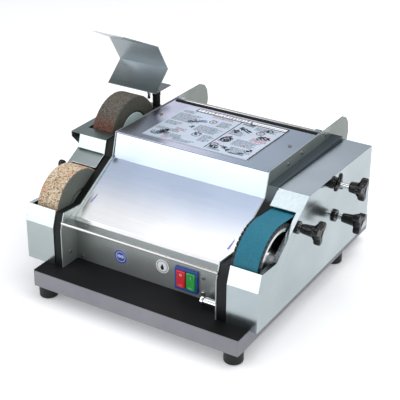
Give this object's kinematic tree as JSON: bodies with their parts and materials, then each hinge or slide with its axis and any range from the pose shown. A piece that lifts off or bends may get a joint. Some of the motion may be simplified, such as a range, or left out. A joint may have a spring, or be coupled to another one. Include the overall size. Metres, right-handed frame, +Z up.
{
  "type": "wet grinding sharpener",
  "caption": "Bench wet grinding and honing machine with sloped steel body, left honing and polishing wheels, right water-cooled belt wheel and swivelling splash guard.",
  "frame": {"origin": "bottom centre of the whole machine's box, on the table under the rubber feet", "axes": "+X to the operator's right, +Y to the rear, +Z up; the operator stands at -Y"},
  "size_m": [0.615, 0.564, 0.4185],
  "materials": {
    "stainless": "satin stainless sheet",
    "polished": "polished stainless sheet",
    "board": "grey laminated board",
    "black_rubber": "matt rubber",
    "black_plastic": "black moulded",
    "steel": "turned steel",
    "chrome": "chromed",
    "alu": "cast and turned",
    "iron": "machined",
    "motor_paint": "painted housing",
    "coarse_abrasive": "coarse bonded grain",
    "fine_abrasive": "fine bonded fibre",
    "tyre_rubber": "serrated rubber",
    "belt_abrasive": "coated abrasive cloth",
    "drive_rubber": "rubber belt",
    "blue_plastic": "switch frame",
    "red_plastic": "button",
    "green_plastic": "button",
    "badge_print": "printed badge",
    "label_print": "printed plate"
  },
  "bodies": {
    "frame": {"base_board": "board", "base_mat": "black_rubber", "rubber_feet": "black_rubber", "left_side_plate": "stainless", "right_side_plate": "stainless", "left_partition": "black_plastic", "right_partition": "black_plastic", "left_housing": "stainless", "left_deck": "stainless", "right_housing": "stainless", "front_panel": "stainless", "slope_cover": "polished", "cross_rods": "chrome", "rear_panel": "stainless", "switch_frame": "blue_plastic", "badges": "badge_print", "drain_valve": "chrome", "motor_body": "motor_paint", "motor_cradle": "alu", "drive_belts": "drive_rubber", "shaft_bearings": "iron", "grinding_belt": "belt_abrasive", "tension_rail": "steel", "knob_collars": "black_plastic", "guard_post": "black_plastic", "power_inlet": "black_plastic", "coolant_pump": "black_plastic", "sheet_screws": "steel"},
    "front_spindle": {"front_shaft": "steel", "front_pulley": "alu", "coarse_wheel": "coarse_abrasive", "coarse_wheel_flanges": "alu", "front_shaft_nuts": "steel", "contact_wheel": "alu", "contact_tyre": "tyre_rubber"},
    "rear_spindle": {"rear_shaft": "steel", "rear_pulley": "alu", "fine_wheel": "fine_abrasive", "fine_wheel_flanges": "alu", "fine_wheel_nut": "steel"},
    "motor_rotor": {"motor_shaft": "steel", "motor_pulley": "alu"},
    "top_lid": {"top_cover": "polished", "label_plate": "label_print", "cover_screws": "steel"},
    "stop": {"stop_button": "red_plastic"},
    "start": {"start_button": "green_plastic"},
    "drain": {"drain_lever": "chrome"},
    "tensioner": {"tension_slider": "steel"},
    "idler": {"idler_wheel": "alu"},
    "tracking_screw": {"tracking_spindle": "chrome"},
    "tracking_grip": {"tracking_knob": "black_plastic"},
    "tracking_lock": {"tracking_lock_nut": "black_plastic"},
    "tension_clamp": {"tension_clamp_knob": "black_plastic"},
    "side_clamp": {"side_clamp_knob": "black_plastic"},
    "left_front_clamp": {"left_front_knob": "black_plastic"},
    "left_rear_clamp": {"left_rear_knob": "black_plastic"},
    "guard": {"splash_guard": "stainless", "guard_hub": "black_plastic", "drip_nozzle": "chrome"}
  },
  "joints": [
    {"name": "front_wheels_spin", "type": "hinge", "parent": "frame", "child": "front_spindle", "pos_m": [0.0035, -0.1585, 0.147], "axis": [1, 0, 0], "continuous": true},
    {"name": "rear_wheel_spin", "type": "hinge", "parent": "frame", "child": "rear_spindle", "pos_m": [0.0035, 0.025, 0.228], "axis": [1, 0, 0], "continuous": true},
    {"name": "motor_spin", "type": "hinge", "parent": "frame", "child": "motor_rotor", "pos_m": [0.0035, 0.038, 0.135], "axis": [1, 0, 0], "continuous": true},
    {"name": "lid_hinge", "type": "hinge", "parent": "frame", "child": "top_lid", "pos_m": [0.0035, 0.159, 0.2625], "axis": [-1, 0, 0], "range_deg": [0, 80]},
    {"name": "stop_press", "type": "slide", "parent": "frame", "child": "stop", "axis": [0, 1, 0], "range_m": [0, 0.003], "stiffness_N_per_m": 400, "springref_m": -0.001},
    {"name": "start_press", "type": "slide", "parent": "frame", "child": "start", "axis": [0, 1, 0], "range_m": [0, 0.003], "stiffness_N_per_m": 400, "springref_m": -0.001},
    {"name": "drain_turn", "type": "hinge", "parent": "frame", "child": "drain", "pos_m": [0.1185, -0.22, 0.07], "axis": [1, 0, 0], "range_deg": [0, 90]},
    {"name": "tension_slide", "type": "slide", "parent": "frame", "child": "tensioner", "axis": [0, 1, 0], "range_m": [-0.012, 0], "stiffness_N_per_m": 1500, "springref_m": 0.01},
    {"name": "idler_spin", "type": "hinge", "parent": "tensioner", "child": "idler", "pos_m": [0.2065, 0.148, 0.1554], "axis": [1, 0, 0], "continuous": true},
    {"name": "tracking_advance", "type": "slide", "parent": "frame", "child": "tracking_screw", "axis": [1, 0, 0], "range_m": [-0.003, 0.003]},
    {"name": "tracking_turn", "type": "hinge", "parent": "tracking_screw", "child": "tracking_grip", "pos_m": [0.2935, 0.0295, 0.2333], "axis": [1, 0, 0], "range_deg": [-720, 720]},
    {"name": "lock_nut_turn", "type": "hinge", "parent": "frame", "child": "tracking_lock", "pos_m": [0.2565, 0.0295, 0.2333], "axis": [1, 0, 0], "range_deg": [-180, 0]},
    {"name": "tension_clamp_turn", "type": "hinge", "parent": "frame", "child": "tension_clamp", "pos_m": [0.2735, 0.0499, 0.1554], "axis": [1, 0, 0], "range_deg": [-360, 0]},
    {"name": "side_clamp_turn", "type": "hinge", "parent": "frame", "child": "side_clamp", "pos_m": [0.2735, -0.1095, 0.2034], "axis": [1, 0, 0], "range_deg": [-360, 0]},
    {"name": "left_front_clamp_turn", "type": "hinge", "parent": "frame", "child": "left_front_clamp", "pos_m": [-0.2665, -0.11, 0.182], "axis": [1, 0, 0], "range_deg": [0, 360]},
    {"name": "left_rear_clamp_turn", "type": "hinge", "parent": "frame", "child": "left_rear_clamp", "pos_m": [-0.2665, -0.024, 0.229], "axis": [1, 0, 0], "range_deg": [0, 360]},
    {"name": "guard_swivel", "type": "hinge", "parent": "frame", "child": "guard", "pos_m": [-0.1975, 0.112, 0.286], "axis": [0, 0, 1], "range_deg": [-90, 10]}
  ],
  "couplings": [
    {"joint": "motor_spin", "follows": "front_wheels_spin", "ratio": 0.64286},
    {"joint": "rear_wheel_spin", "follows": "front_wheels_spin", "ratio": 0.70183},
    {"joint": "idler_spin", "follows": "front_wheels_spin", "ratio": 2.1521},
    {"joint": "tracking_advance", "follows": "tracking_turn", "m_per_rad": 0.00023873}
  ]
}
